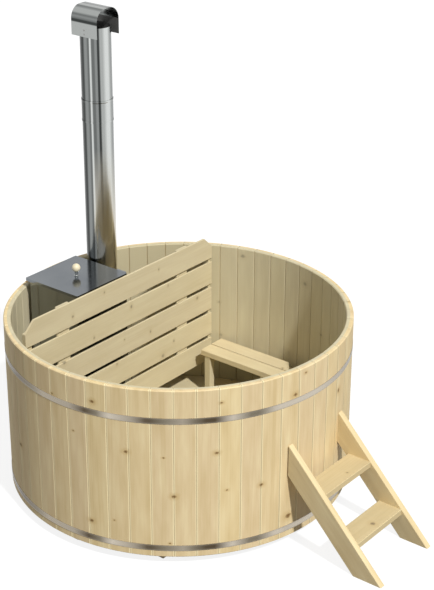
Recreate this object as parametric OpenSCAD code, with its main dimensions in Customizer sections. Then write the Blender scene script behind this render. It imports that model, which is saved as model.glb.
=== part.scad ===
/* [Tub] */
// Outer diameter over the staves
tub_d = 2000; // [1940:10:2200]
// Length of a stave
stave_l = 1018; // [940:1:1080]
// Thickness of a stave
stave_t = 42; // [36:1:48]
// Number of staves round the wall, the same number in each of the thirteen sections
stave_count = 52; // [39:13:65]
// Height of the floor's underside above the lower ends of the staves
croze_h = 37; // [30:1:60]
// Depth of the croze, the groove in the staves that holds the floor
croze_d = 12; // [8:1:12]
// Thickness of the floor boards
floor_t = 42; // [34:1:48]
// Number of floor boards
floor_board_count = 15; // [11:1:17]
// Thickness of the tongues between staves and between floor boards
tongue_t = 9; // [6:1:9]
// Depth of the tongues
tongue_d = 6; // [4:1:8]

/* [Base beams] */
// Width of a beam
beam_w = 72; // [60:1:90]
// Height of a beam
beam_h = 97; // [80:1:130]
// Distance between the centre lines of the beams
beam_pitch = 487; // [450:1:520]

/* [Hoops] */
// Width of the hoop band
hoop_w = 35; // [25:1:45]
// Thickness of the hoop band
hoop_t = 1.5; // [1:0.5:3]
// Height of the upper hoop as a share of the stave length
hoop_height_share = 0.825; // [0.7:0.005:0.9]
// Gap in the hoop that the tension bolt draws together
hoop_gap = 70; // [50:1:90]
// Radius of the tension bolt
hoop_bolt_r = 6; // [5:0.5:8]

/* [Stove] */
// Width of the stove body, from the fence to the tub wall
stove_w = 385; // [320:1:400]
// Height of the stove body to the seat of the lid
stove_h = 976.7; // [900:0.1:1050]
// Thickness of the stove sheet
sheet_t = 3; // [2:0.5:4]
// Radius of the upright corners of the stove and the lid
corner_r = 8; // [4:1:14]
// Length of the lid, along the fence
lid_l = 430; // [380:1:440]
// Overhang of the lid past the body
lid_lap = 17; // [14:1:22]
// Depth of the folded edge of the lid
fold_h = 16; // [10:1:30]
// Distance of the lid's near edge from the middle of the tub, along the fence
stove_reach = 345; // [320:1:380]
// Gap between the lid's corner and the tub wall
stove_wall_gap = 4; // [3:1:30]
// Height of the runners under the stove
runner_h = 21; // [15:1:40]
// Margin of the flue box round the pipe
flue_margin = 14; // [10:1:20]
// Step from the lid down to the top of the flue box
flue_drop = 120; // [60:5:160]
// Width of the neck between the stove body and the flue box
neck_w = 130; // [90:1:150]
// Height of the neck between the stove body and the flue box
neck_h = 220; // [150:5:300]
// Diameter of the wooden ball knob
knob_d = 50; // [40:1:60]
// Height of the middle of the knob over the lid
knob_h = 50; // [44:1:80]
// Diameter of the knob's stem
stem_d = 20; // [14:1:24]

/* [Chimney] */
// Outer diameter of the pipe
pipe_d = 182; // [150:1:186]
// Wall of the pipe
pipe_wall = 1.5; // [1:0.5:2]
// Length of the lower pipe
pipe_lower_l = 1050; // [900:5:1200]
// Length of the upper pipe
pipe_upper_l = 495; // [400:5:700]
// Length of the sleeve over the joint
sleeve_l = 135; // [100:1:160]
// Length of the rain cowl, across the tub
cowl_l = 196; // [180:1:260]
// Height of the cowl's straight sides
cowl_leg_h = 92; // [80:1:130]
// Radius of the cowl's bend
cowl_bend_r = 75; // [60:1:75]
// How far the cowl's sides lap the pipe
cowl_lap = 52; // [40:1:60]
// Thickness of the cowl sheet
cowl_t = 2; // [1:0.5:3]

/* [Fence] */
// Number of slats
slat_count = 5; // [5:1:6]
// Width of a slat
slat_w = 152; // [120:1:165]
// Thickness of a slat
slat_t = 13; // [10:1:20]
// Gap between two slats
slat_gap = 25; // [8:1:36]
// Height of the lowest slat over the floor
fence_lift = 145; // [100:5:160]
// Gap between the slats and the stove lid
fence_gap = 19; // [18:1:30]
// Gap between the near ends of the slats and the tub wall
slat_end_gap = 49; // [20:1:60]
// Width of a batten behind the slats
batten_w = 98; // [60:1:110]
// Thickness of a batten
batten_t = 14; // [10:1:16]
// Distance of the near batten from the middle of the fence
batten_near = 487; // [470:1:600]
// Distance of the far batten from the middle of the fence
batten_far = 568; // [470:1:600]
// Width of the upright behind the near ends of the slats
end_upright_w = 60; // [40:1:80]
// Cut at the upper corners of the fence, along it
corner_l = 75; // [40:1:140]
// Cut at the upper corners of the fence, downwards
corner_h = 68; // [40:1:140]

/* [Bench] */
// Length of the bench at the wall
bench_l = 535; // [480:5:600]
// Angle of the cut at the bench's end, away from square
bench_cut = 38; // [0:1:45]
// Width of a bench board
bench_board_w = 101; // [80:1:120]
// Thickness of the bench boards, the treads and the stringers
board_t = 38; // [30:1:45]
// Gap between the two bench boards
bench_gap = 8; // [3:1:12]
// Height of the seat over the floor
seat_h = 299; // [260:1:400]
// Distance of the bench from the fence
bench_fence_gap = 67; // [30:1:120]
// Side of a square leg and of a bearer
leg_s = 45; // [35:1:55]

/* [Steps] */
// Width over the two stringers
steps_w = 510; // [450:5:560]
// Height of the steps at the tub wall
steps_h = 644; // [600:1:700]
// Length of the steps on the ground
steps_run = 623; // [560:1:700]
// Width of the stringer planks
stringer_w = 131; // [110:1:140]
// Depth of a tread
tread_d = 150; // [120:1:170]
// Height of the lower tread
tread_low = 186; // [160:1:210]
// Height of the upper tread
tread_high = 410; // [380:1:440]
// Side of a square tread cleat
cleat_s = 28; // [20:1:36]

/* [Drain] */
// Radius of the drain bore
drain_r = 19; // [15:0.5:21]
// Radius of the drain's threaded shank
drain_shank_r = 25; // [24:0.5:28]
// Radius of the drain's hose tail
drain_tail_r = 24; // [22:0.5:24]
// Length of the drain's hose tail
drain_tail_l = 25; // [20:1:40]
// Radius of the drain flange
drain_flange_r = 45; // [42:1:52]
// Floor board with the drain, counted from the near side
drain_board = 3; // [2:1:4]

/* [Hidden] */
$fn = 96;

// Overrun of every cut
over = 1;
// Running gap between loose pieces
fit = 0.3;
// Eased edge of a plank
ease = 3;

// Tub wall
section_count = 13;
section_staves = stave_count / section_count;
stave_step = 360 / stave_count;
wall_facets = 6 * stave_count;
stave_gap = 0.4;
arris = 2.5;
rim_ease = 5;
tub_r = tub_d / 2;
inner_r = tub_r - stave_t;
stave_z = beam_h - croze_h;
rim_z = stave_z + stave_l;
tongue_r = inner_r + stave_t / 2;
groove_d = tongue_d + over;

// Floor
floor_r = inner_r + croze_d - over;
floor_z = beam_h;
floor_top = floor_z + floor_t;
floor_board_w = 2 * floor_r / floor_board_count;
floor_ease = 1.5;

// Middle of the floor board that is nearest to y
function board_middle(y) = (floor((y + floor_r) / floor_board_w) + 1 / 2) * floor_board_w - floor_r;

// Base beams
beam_wall_gap = 28;

// Hoops
hoop_in_r = tub_r + fit;
hoop_out_r = hoop_in_r + hoop_t;
hoop_low_z = floor_z + floor_t / 2;
hoop_high_z = stave_z + stave_l * hoop_height_share;
hoop_angle = 130;
hoop_gap_angle = 360 * hoop_gap / (PI * tub_d);
ear_t = 12;
ear_h = 30;
lug_foot_t = 4;
lug_foot_l = 50;
lug_foot_angle = 360 * lug_foot_l / (PI * tub_d);
lug_in_r = hoop_out_r + fit;
lug_out_r = lug_in_r + lug_foot_t;
bolt_height = 19;
bolt_tail = 18;
head_share = 1.8;
head_t_share = 1.3;

// Stove
lid_w = stove_w + 2 * lid_lap;
stove_l = lid_l - 2 * lid_lap;
stove_x = lid_w / 2 - sqrt(pow(inner_r - stove_wall_gap, 2) - pow(stove_reach, 2));
stove_left = stove_x - stove_w / 2;
stove_near = lid_lap - stove_reach;
stove_rear = stove_near + stove_l;
stove_z = floor_top + runner_h;
lid_seat = stove_z + stove_h;
lid_top = lid_seat + fit + sheet_t;
lid_rear = lid_l - stove_reach;
ledge_w = 20;
grate_lift_share = 0.16;
grate_z = stove_z + stove_h * grate_lift_share;
grate_bar_w = 12;
grate_bar_h = 16;
grate_bars = 9;

// Flue box
pipe_r = pipe_d / 2;
flue_w = pipe_d + 2 * flue_margin;
flue_gap = 4;
flue_inset = 12;
flue_left = stove_x - lid_w / 2 + flue_inset;
flue_near = lid_rear + flue_gap;
flue_top = lid_top - flue_drop;
neck_x = (stove_left + flue_left + flue_w) / 2;
neck_height_share = 0.45;
neck_z = stove_z + stove_h * neck_height_share;

// Runners, each bolted to the middle of a floor board: its left end, length and place
runner_w = 40;
runner_out = 30;
runner_inset = 60;
runners = [
    [stove_left, stove_w, board_middle(stove_near + runner_inset)],
    [stove_left, stove_w, board_middle(stove_rear - runner_inset)],
    [flue_left, flue_w, board_middle(flue_near + flue_w - runner_inset)]
];
stove_bolt_r = 5;
stove_bolt_l = 30;

// Lid knob
stem_foot_t = 3;
stem_flare_t = 3;
stem_flare_share = 0.7;
stem_socket = 18;
stem_tail_d = 8;
stem_tail_l = 14;
nut_t = 7;

// Chimney
pipe_x = flue_left + flue_w / 2;
pipe_y = flue_near + flue_w / 2;
collar_wall = 1.5;
collar_r = pipe_r - pipe_wall - fit;
collar_h = 55;
collar_lip = 2.5;
pipe_joint_z = flue_top + pipe_lower_l;
pipe_top_z = pipe_joint_z + pipe_upper_l;
sleeve_t = 1.7;
sleeve_bead_t = 3.2;
sleeve_bead_l = 9;
sleeve_bead_slope = 4;
cowl_half_w = pipe_r + fit + cowl_t;
cowl_z = pipe_top_z - cowl_lap;
rivet_r = 2.5;
rivet_head_r = 5.5;
rivet_head_t = 2;
rivet_place_shares = [0.3, 0.75];

// Fence
fence_back = stove_x + lid_w / 2 + fence_gap;
fence_front = fence_back + slat_t;
fence_wall_gap = 3;
fence_r = inner_r - fence_wall_gap;
fence_z = floor_top + fence_lift;
slat_pitch = slat_w + slat_gap;
fence_top = fence_z + slat_count * slat_pitch - slat_gap;
fence_far = sqrt(pow(fence_r, 2) - pow(fence_front, 2));
fence_near = slat_end_gap - fence_far;
slat_ease = 2;
wall_strip_w = 18;
wall_strip_d = 45;

// Bench
bench_x = fence_front + bench_fence_gap;
bench_wall_gap = 13;
bench_far_x = max(abs(bench_x), abs(bench_x + bench_l));
bench_rear = sqrt(pow(inner_r - bench_wall_gap, 2) - pow(bench_far_x, 2));
bench_w = 2 * bench_board_w + bench_gap;
bench_front = bench_rear - bench_w;
bench_under = floor_top + seat_h - board_t;
leg_inset = 24;
leg_setback = 4;
bearer_short = 12;
ledger_h = 45;
ledger_lap = 48;
leg_places = [bench_x + leg_inset, bench_x + bench_l - leg_inset - leg_s];

// Steps
steps_x = sqrt(pow(tub_r, 2) - pow(steps_w / 2 - board_t, 2)) + fit;
stringer_long = sqrt(pow(steps_h, 2) + pow(steps_run, 2));
stringer_angle = atan(steps_h / steps_run);
tread_l = steps_w - 2 * board_t - 2 * fit;

// Drain
drain_x = beam_pitch / 2;
drain_y = floor_r - (drain_board - 1 / 2) * floor_board_w;
flange_t = 4;
seat_flare = 5;
seat_depth = 8;
locknut_r = 38;
locknut_t = 10;
plug_grip_r = 12;
plug_grip_h = 34;
plug_neck_r = 6;

// Cross-section of a plank with eased edges, its corner at the origin
module plank_outline(w, t, e = ease) {
    polygon([[e, 0], [w - e, 0], [w, e], [w, t - e], [w - e, t], [e, t], [0, t - e], [0, e]]);
}

// Planks of length l that run along one axis, each with its corner at the origin
module plank_x(l, w, t) { rotate([90, 0, 90]) linear_extrude(l) plank_outline(w, t); }
module plank_y(l, w, t, e = ease) {
    translate([0, l, 0]) rotate([90, 0, 0]) linear_extrude(l) plank_outline(w, t, e);
}
module plank_z(l, w, t, e = ease) { linear_extrude(l) plank_outline(w, t, e); }

// Rectangle with rounded corners
module rounded(w, l, r) {
    translate([r, 0]) square([w - 2 * r, l]);
    translate([0, r]) square([w, l - 2 * r]);
    for (x = [r, w - r], y = [r, l - r]) translate([x, y]) circle(r = r);
}

// Round of the tub wall from the lower ends of the staves to the height h, which cuts what meets the wall
module wall_round(r, h) { translate([0, 0, -over]) cylinder(r = r, h = h + 2 * over, $fn = wall_facets); }

// Half width of a stave at the distance r from the tub's axis
function stave_side(r) = r * tan(stave_step / 2) - stave_gap / 2 / cos(stave_step / 2);

// Point on a stave's side face at r, moved out of the face by d; side is 1 or -1
function side_point(r, d, side) =
    [r - d * sin(stave_step / 2), side * (stave_side(r) + d * cos(stave_step / 2))];

// Plan of a stave: a wedge with eased arrises, a tongue on one side and a groove on the other
module stave_plan() {
    half = tongue_t / 2;
    cut = arris + over;
    polygon([
        [inner_r - over, cut - stave_side(inner_r + arris)],
        side_point(inner_r + arris, 0, -1),
        side_point(tongue_r - half + fit, 0, -1),
        side_point(tongue_r - half + fit, tongue_d, -1),
        side_point(tongue_r + half - fit, tongue_d, -1),
        side_point(tongue_r + half - fit, 0, -1),
        side_point(tub_r - arris, 0, -1),
        [tub_r + over, cut - stave_side(tub_r - arris)],
        [tub_r + over, stave_side(tub_r - arris) - cut],
        side_point(tub_r - arris, 0, 1),
        side_point(tongue_r + half, 0, 1),
        side_point(tongue_r + half, -groove_d, 1),
        side_point(tongue_r - half, -groove_d, 1),
        side_point(tongue_r - half, 0, 1),
        side_point(inner_r + arris, 0, 1),
        [inner_r - over, stave_side(inner_r + arris) - cut]
    ]);
}

// Wall of the tub turned about its axis, with an eased rim and the croze for the floor
module wall_ring() {
    e = rim_ease;
    low = floor_z - fit;
    high = floor_top + fit;
    rotate_extrude($fn = wall_facets) polygon([
        [inner_r + e, stave_z], [tub_r - e, stave_z], [tub_r, stave_z + e],
        [tub_r, rim_z - e], [tub_r - e, rim_z], [inner_r + e, rim_z], [inner_r, rim_z - e],
        [inner_r, high], [inner_r + croze_d, high], [inner_r + croze_d, low], [inner_r, low],
        [inner_r, stave_z + e]
    ]);
}

module stave() {
    intersection() {
        wall_ring();
        translate([0, 0, stave_z - over]) linear_extrude(stave_l + 2 * over) stave_plan();
    }
}

// Staves of one wall section, counted from the side of the steps
module staves(section) {
    color("#DCC698")
    for (i = [0 : section_staves - 1])
        rotate([0, 0, stave_step * (section * section_staves + i)]) stave();
}

// Cross-section of a floor board with its tongue and groove
module floor_board_outline() {
    w = floor_board_w - fit;
    e = floor_ease;
    low = floor_t / 2 - tongue_t / 2;
    high = floor_t / 2 + tongue_t / 2;
    polygon([
        [0, 0], [w, 0], [w, low + fit], [w + tongue_d, low + fit],
        [w + tongue_d, high - fit], [w, high - fit],
        [w, floor_t - e], [w - e, floor_t], [e, floor_t], [0, floor_t - e],
        [0, high], [groove_d, high], [groove_d, low], [0, low]
    ]);
}

// Places of the bolts that hold the runners down, one at each end
function stove_bolt_places() =
    [for (r = runners, x = [r[0] - runner_out / 2, r[0] + r[1] + runner_out / 2]) [x, r[2]]];

module floor_boards() {
    color("#C9B68A")
    difference() {
        for (i = [0 : floor_board_count - 1])
            intersection() {
                translate([-floor_r, i * floor_board_w - floor_r, floor_z])
                    rotate([90, 0, 90]) linear_extrude(2 * floor_r) floor_board_outline();
                wall_round(floor_r, floor_top);
            }
        translate([drain_x, -drain_y, floor_z - over])
            cylinder(r = drain_shank_r + fit, h = floor_t + 2 * over);
        for (p = stove_bolt_places())
            translate([p.x, p.y, floor_top - stove_bolt_l - fit])
                cylinder(r = stove_bolt_r + fit, h = stove_bolt_l + fit + over);
    }
}

// Beam whose centre line runs at x, as long as the staves around it allow
module beam(x) {
    half_l = sqrt(pow(inner_r - beam_wall_gap, 2) - pow(abs(x) + beam_w / 2, 2));
    color("#A8946B") translate([x - beam_w / 2, -half_l, 0]) plank_y(2 * half_l, beam_w, beam_h);
}

// Hoop band, open where its bolt draws it together
module hoop(z) {
    color("#A9ABAC")
    translate([0, 0, z - hoop_w / 2])
        rotate([0, 0, hoop_angle + hoop_gap_angle / 2])
            rotate_extrude(angle = 360 - hoop_gap_angle, $fn = wall_facets)
                translate([hoop_in_r, 0]) square([hoop_t, hoop_w]);
}

// Lug with an ear for the bolt; side is 1 or -1
module hoop_lug(side) {
    start = side > 0 ? hoop_gap_angle / 2 : -hoop_gap_angle / 2 - lug_foot_angle;
    ear_y = side > 0 ? hoop_gap / 2 : -hoop_gap / 2 - ear_t;
    difference() {
        union() {
            rotate([0, 0, start]) rotate_extrude(angle = lug_foot_angle, $fn = wall_facets)
                translate([lug_in_r, 0]) square([lug_foot_t, hoop_w]);
            translate([lug_in_r + lug_foot_t / 2, ear_y, 0]) cube([ear_h, ear_t, hoop_w]);
        }
        translate([lug_out_r + bolt_height, 0, hoop_w / 2])
            rotate([90, 0, 0]) cylinder(r = hoop_bolt_r + fit, h = 2 * hoop_gap, center = true);
    }
}

// Places something at a hoop's gap, the X axis out of the tub and the Y axis along the bolt
module at_hoop_gap(z) { rotate([0, 0, hoop_angle]) translate([0, 0, z - hoop_w / 2]) children(); }

module hoop_lugs() {
    color("#9C9FA1")
    for (z = [hoop_low_z, hoop_high_z], side = [-1, 1]) at_hoop_gap(z) hoop_lug(side);
}

module hoop_bolt() {
    half = hoop_gap / 2 + ear_t;
    head_t = hoop_bolt_r * head_t_share;
    translate([lug_out_r + bolt_height, 0, hoop_w / 2]) rotate([-90, 0, 0]) {
        translate([0, 0, -half]) cylinder(r = hoop_bolt_r, h = 2 * half + bolt_tail);
        translate([0, 0, -half - head_t]) cylinder(r = hoop_bolt_r * head_share, h = head_t, $fn = 6);
    }
}

module hoop_nut() {
    nut_h = hoop_bolt_r * head_t_share;
    translate([lug_out_r + bolt_height, hoop_gap / 2 + ear_t, hoop_w / 2]) rotate([-90, 0, 0])
        difference() {
            cylinder(r = hoop_bolt_r * head_share, h = nut_h, $fn = 6);
            translate([0, 0, -over]) cylinder(r = hoop_bolt_r + fit, h = nut_h + 2 * over);
        }
}

module hoop_bolts() { color("#8E9194") for (z = [hoop_low_z, hoop_high_z]) at_hoop_gap(z) hoop_bolt(); }
module hoop_nuts() { color("#8E9194") for (z = [hoop_low_z, hoop_high_z]) at_hoop_gap(z) hoop_nut(); }

// Upright box of sheet with rounded corners, hollow, its corner at the origin
module sheet_box(w, l, h, open_top) {
    inner_h = open_top ? h : h - 2 * sheet_t;
    difference() {
        linear_extrude(h) rounded(w, l, corner_r);
        translate([sheet_t, sheet_t, sheet_t])
            linear_extrude(inner_h) rounded(w - 2 * sheet_t, l - 2 * sheet_t, corner_r - sheet_t);
    }
}

// Way for the smoke between the two boxes
module neck_bore() {
    translate([neck_x - neck_w / 2 + sheet_t, stove_rear - sheet_t - over, neck_z + sheet_t])
        cube([neck_w - 2 * sheet_t, flue_near - stove_rear + 2 * sheet_t + 2 * over, neck_h - 2 * sheet_t]);
}

// Fire box, open at its top where the lid sits, with two ledges for the grate
module stove_body() {
    color("#8C8A84")
    difference() {
        translate([stove_left, stove_near, stove_z]) {
            sheet_box(stove_w, stove_l, stove_h, true);
            for (x = [sheet_t / 2, stove_w - sheet_t / 2 - ledge_w])
                translate([x, corner_r, grate_z - stove_z - sheet_t])
                    cube([ledge_w, stove_l - 2 * corner_r, sheet_t]);
        }
        neck_bore();
    }
}

// Narrower box behind the fire box, with the neck that joins them and the hole for the flue
module stove_flue_box() {
    color("#8A9196")
    difference() {
        union() {
            translate([flue_left, flue_near, stove_z]) sheet_box(flue_w, flue_w, flue_top - stove_z, false);
            translate([neck_x - neck_w / 2, stove_rear, neck_z])
                cube([neck_w, flue_near - stove_rear + sheet_t / 2, neck_h]);
        }
        neck_bore();
        translate([pipe_x, pipe_y, flue_top - sheet_t - over])
            cylinder(r = collar_r + fit, h = sheet_t + 2 * over);
    }
}

// Folded channels that carry the stove and bolt to the floor
module stove_runners() {
    inner_h = runner_h - sheet_t;
    color("#77797A")
    difference() {
        for (r = runners)
            translate([r[0] - runner_out, r[2] - runner_w / 2, floor_top])
                difference() {
                    cube([r[1] + 2 * runner_out, runner_w, runner_h]);
                    translate([-over, sheet_t, -over])
                        cube([r[1] + 2 * runner_out + 2 * over, runner_w - 2 * sheet_t, inner_h + over]);
                }
        for (p = stove_bolt_places())
            translate([p.x, p.y, floor_top - over]) cylinder(r = stove_bolt_r + fit, h = runner_h + 2 * over);
    }
}

module stove_bolts() {
    color("#8E9194")
    for (p = stove_bolt_places())
        translate([p.x, p.y, floor_top]) {
            translate([0, 0, -stove_bolt_l]) cylinder(r = stove_bolt_r, h = stove_bolt_l + runner_h);
            translate([0, 0, runner_h])
                cylinder(r = stove_bolt_r * head_share, h = stove_bolt_r * head_t_share, $fn = 6);
        }
}

// Grate of flat bars on the two ledges
module fire_grate() {
    w = stove_w - 2 * sheet_t - 2 * fit;
    l = stove_l - 2 * corner_r;
    pitch = (w - grate_bar_w) / (grate_bars - 1);
    color("#5B5854")
    translate([stove_x - w / 2, stove_near + corner_r, grate_z]) {
        for (i = [0 : grate_bars - 1]) translate([i * pitch, 0, 0]) cube([grate_bar_w, l, grate_bar_h]);
        for (y = [0, l - grate_bar_w]) translate([0, y, 0]) cube([w, grate_bar_w, grate_bar_h]);
    }
}

// Spigot for the pipe, held by a lip under the top of the flue box
module flue_collar() {
    r_in = collar_r - collar_wall;
    color("#8A8D8F")
    translate([pipe_x, pipe_y, flue_top - sheet_t - collar_wall]) rotate_extrude() polygon([
        [r_in, 0], [collar_r + collar_lip, 0], [collar_r + collar_lip, collar_wall], [collar_r, collar_wall],
        [collar_r, collar_h + collar_wall], [r_in, collar_h + collar_wall]
    ]);
}

// Middle of the lid, where the knob stands
function lid_middle() = [stove_x, lid_rear - lid_l / 2, 0];

// Lid folded from sheet, with the hole for the knob's stem
module stove_lid() {
    color("#8A9196")
    difference() {
        translate([stove_x - lid_w / 2, -stove_reach, lid_top - fold_h])
            linear_extrude(fold_h) rounded(lid_w, lid_l, corner_r);
        translate([stove_x - lid_w / 2 + sheet_t, sheet_t - stove_reach, lid_top - fold_h - over])
            linear_extrude(fold_h - sheet_t + over)
                rounded(lid_w - 2 * sheet_t, lid_l - 2 * sheet_t, corner_r - sheet_t);
        translate(lid_middle()) translate([0, 0, lid_top - sheet_t - over])
            cylinder(d = stem_tail_d + 2 * fit, h = sheet_t + 2 * over);
    }
}

// Turned stem with a flared foot on the lid and a threaded tail through it
module lid_stem() {
    top = knob_h - knob_d / 2 + stem_socket;
    color("#B9BBBC")
    translate(lid_middle()) translate([0, 0, lid_top]) rotate_extrude() polygon([
        [0, -stem_tail_l], [stem_tail_d / 2, -stem_tail_l], [stem_tail_d / 2, 0],
        [stem_d * stem_flare_share, 0], [stem_d * stem_flare_share, stem_foot_t],
        [stem_d / 2, stem_foot_t + stem_flare_t], [stem_d / 2, knob_h - knob_d / 2],
        [stem_tail_d / 2, knob_h - knob_d / 2], [stem_tail_d / 2, top], [0, top]
    ]);
}

// Turned wooden ball with a flat and a socket for the stem
module lid_knob() {
    low = knob_h - knob_d;
    flat = knob_h - sqrt(pow(knob_d / 2, 2) - pow(stem_d / 2, 2));
    color("#E8DEC0")
    translate(lid_middle()) translate([0, 0, lid_top])
        difference() {
            translate([0, 0, knob_h]) sphere(d = knob_d);
            translate([0, 0, low]) cylinder(d = stem_d + 2 * fit, h = flat - low + fit);
            translate([0, 0, low]) cylinder(d = stem_tail_d + 2 * fit, h = knob_d / 2 + stem_socket + fit);
        }
}

module lid_nut() {
    color("#8E9194")
    translate(lid_middle()) translate([0, 0, lid_top - sheet_t - nut_t])
        difference() {
            cylinder(d = stem_tail_d * head_share, h = nut_t, $fn = 6);
            translate([0, 0, -over]) cylinder(d = stem_tail_d + 2 * fit, h = nut_t + 2 * over);
        }
}

// Length of pipe that stands on z
module pipe(z, l) {
    translate([pipe_x, pipe_y, z])
        difference() {
            cylinder(r = pipe_r, h = l);
            translate([0, 0, -over]) cylinder(r = pipe_r - pipe_wall, h = l + 2 * over);
        }
}

module pipe_lower() { color("#B4B6B7") pipe(flue_top, pipe_lower_l); }

module pipe_upper() {
    color("#B4B6B7")
    difference() {
        pipe(pipe_joint_z, pipe_upper_l);
        rivet_holes();
    }
}

// Sleeve over the joint of the two pipes, with a bead at each end
module pipe_sleeve() {
    r0 = pipe_r + fit;
    r1 = pipe_r + sleeve_t;
    r2 = pipe_r + sleeve_bead_t;
    b = sleeve_bead_l;
    c = b + sleeve_bead_slope;
    l = sleeve_l;
    color("#BFC1C2")
    translate([pipe_x, pipe_y, pipe_joint_z - l / 2]) rotate_extrude() polygon([
        [r0, 0], [r2, 0], [r2, b], [r1, c], [r1, l - c], [r2, l - b], [r2, l], [r0, l]
    ]);
}

// Outline of the cowl: straight sides under a bent top, its half width w and its bend radius r
module cowl_outline(w, r, foot) {
    for (side = [-1, 1]) translate([side * (w - r), cowl_leg_h]) circle(r = r);
    translate([r - w, cowl_leg_h]) square([2 * (w - r), r]);
    translate([-w, -foot]) square([2 * w, cowl_leg_h + foot]);
}

// Inverted channel over the pipe's mouth, open at both ends
module rain_cowl() {
    color("#9FA1A2")
    difference() {
        translate([pipe_x - cowl_l / 2, pipe_y, cowl_z]) rotate([90, 0, 90])
            linear_extrude(cowl_l) difference() {
                cowl_outline(cowl_half_w, cowl_bend_r, 0);
                cowl_outline(cowl_half_w - cowl_t, cowl_bend_r - cowl_t, over);
            }
        rivet_holes();
    }
}

// Holes for the rivets, through the cowl's sides and the pipe
module rivet_holes() {
    for (share = rivet_place_shares)
        translate([pipe_x, pipe_y, cowl_z + cowl_lap * share]) rotate([90, 0, 0])
            cylinder(r = rivet_r + fit, h = 2 * cowl_half_w + 2 * over, center = true);
}

module rivet() {
    shank = cowl_t + pipe_wall + 2 * fit;
    translate([0, 0, -shank]) cylinder(r = rivet_r, h = shank);
    cylinder(r1 = rivet_head_r, r2 = rivet_r, h = rivet_head_t);
}

module cowl_rivets() {
    color("#8E9194")
    for (share = rivet_place_shares, side = [-1, 1])
        translate([pipe_x, pipe_y + side * cowl_half_w, cowl_z + cowl_lap * share])
            rotate([-90 * side, 0, 0]) rivet();
}

// Slat of the fence, counted from the floor; its far end follows the wall and the top corners are cut
module fence_slat(i) {
    low = fence_z + i * slat_pitch;
    shoulder = fence_top - corner_h;
    color("#CDBC8E")
    intersection() {
        translate([fence_back, -fence_r, low]) plank_y(2 * fence_r, slat_t, slat_w, slat_ease);
        wall_round(fence_r, fence_top);
        translate([fence_back - over, 0, 0]) rotate([90, 0, 90]) linear_extrude(slat_t + 2 * over) polygon([
            [fence_near, fence_z - over], [fence_far, fence_z - over], [fence_far, shoulder],
            [fence_far - corner_l, fence_top], [fence_near + corner_l, fence_top], [fence_near, shoulder]
        ]);
    }
}

// Upright of width w behind the slats, its near edge at y, from the height low to the height high
module fence_upright(y, w, low, high) {
    color("#B9A77B")
    translate([fence_back - batten_t, y, low])
        rotate([0, 0, 90]) translate([0, -batten_t, 0]) plank_z(high - low, w, batten_t, slat_ease);
}

module fence_batten_near() { fence_upright(-batten_near - batten_w / 2, batten_w, floor_top, fence_top); }
module fence_batten_far() { fence_upright(batten_far - batten_w / 2, batten_w, fence_z, fence_top); }

// Uprights at the ends of the slats: a batten at the near end, a strip scribed to the wall at the far end
module fence_wall_blocks() {
    reach = sqrt(pow(inner_r, 2) - pow(fence_back, 2));
    shoulder = fence_top - corner_h;
    color("#B9A77B")
    intersection() {
        union() {
            fence_upright(fence_near, end_upright_w, floor_top, shoulder);
            translate([fence_back - wall_strip_d, reach - wall_strip_w, floor_top])
                cube([wall_strip_d, 2 * wall_strip_w, shoulder - floor_top]);
        }
        wall_round(inner_r - fit, fence_top);
    }
}

// Bench board whose end is cut so that the seat is longer at its front
module bench_board(y) {
    slant = tan(bench_cut);
    front = bench_x + bench_l + (bench_w + over) * slant;
    color("#E6D3A0")
    intersection() {
        translate([bench_x, y, bench_under]) plank_x(bench_l + bench_w * slant, bench_board_w, board_t);
        translate([0, 0, bench_under - over]) linear_extrude(board_t + 2 * over) polygon([
            [bench_x - over, bench_front - over], [front, bench_front - over],
            [bench_x + bench_l - over * slant, bench_rear + over], [bench_x - over, bench_rear + over]
        ]);
    }
}

module bench_legs() {
    color("#CDBC8E")
    for (x = leg_places)
        translate([x, bench_front + leg_setback, floor_top]) plank_z(bench_under - floor_top, leg_s, leg_s);
}

// Bearers behind the legs, under both boards
module bench_bearers() {
    start = bench_front + leg_setback + leg_s;
    color("#B9A77B")
    for (x = leg_places)
        translate([x, start, bench_under - leg_s]) plank_y(bench_rear - bearer_short - start, leg_s, leg_s);
}

// Ledger on the wall that carries the rear ends of the bearers
module bench_wall_ledger() {
    l = bench_l - 2 * leg_inset;
    front = bench_rear - bearer_short - ledger_lap;
    color("#B9A77B")
    intersection() {
        translate([bench_x + leg_inset, front, bench_under - leg_s - ledger_h])
            plank_x(l, inner_r - front, ledger_h);
        wall_round(inner_r - fit, bench_under);
    }
}

// Plank of the steps from the tub wall to the ground, cut upright at the wall and level on the ground
module stringer(y) {
    color("#D8C493")
    intersection() {
        translate([steps_x + steps_run, y, 0]) rotate([0, stringer_angle, 0])
            translate([-stringer_long - stringer_w, 0, -stringer_w])
                plank_x(stringer_long + 2 * stringer_w, board_t, stringer_w);
        translate([steps_x, y - over, 0]) cube([steps_run, board_t + 2 * over, steps_h]);
    }
}

// Tread whose top is at the height z; its front edge lies on the stringers' upper edge
module tread(z) {
    front = steps_x + steps_run * (1 - z / steps_h);
    color("#EBD9A8")
    translate([front - tread_d, -tread_l / 2, z - board_t]) plank_y(tread_l, tread_d, board_t);
}

// Cleats under the ends of both treads
module tread_cleats() {
    color("#C9B68A")
    for (z = [tread_low, tread_high], side = [-1, 1]) {
        front = steps_x + steps_run * (1 - z / steps_h);
        l = tread_d - 2 * cleat_s;
        y = side > 0 ? tread_l / 2 + fit - cleat_s : -tread_l / 2 - fit;
        translate([front - tread_d + cleat_s / 2, y, z - board_t - cleat_s]) plank_x(l, cleat_s, cleat_s);
    }
}

module at_drain() { translate([drain_x, -drain_y, floor_top]) children(); }

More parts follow.
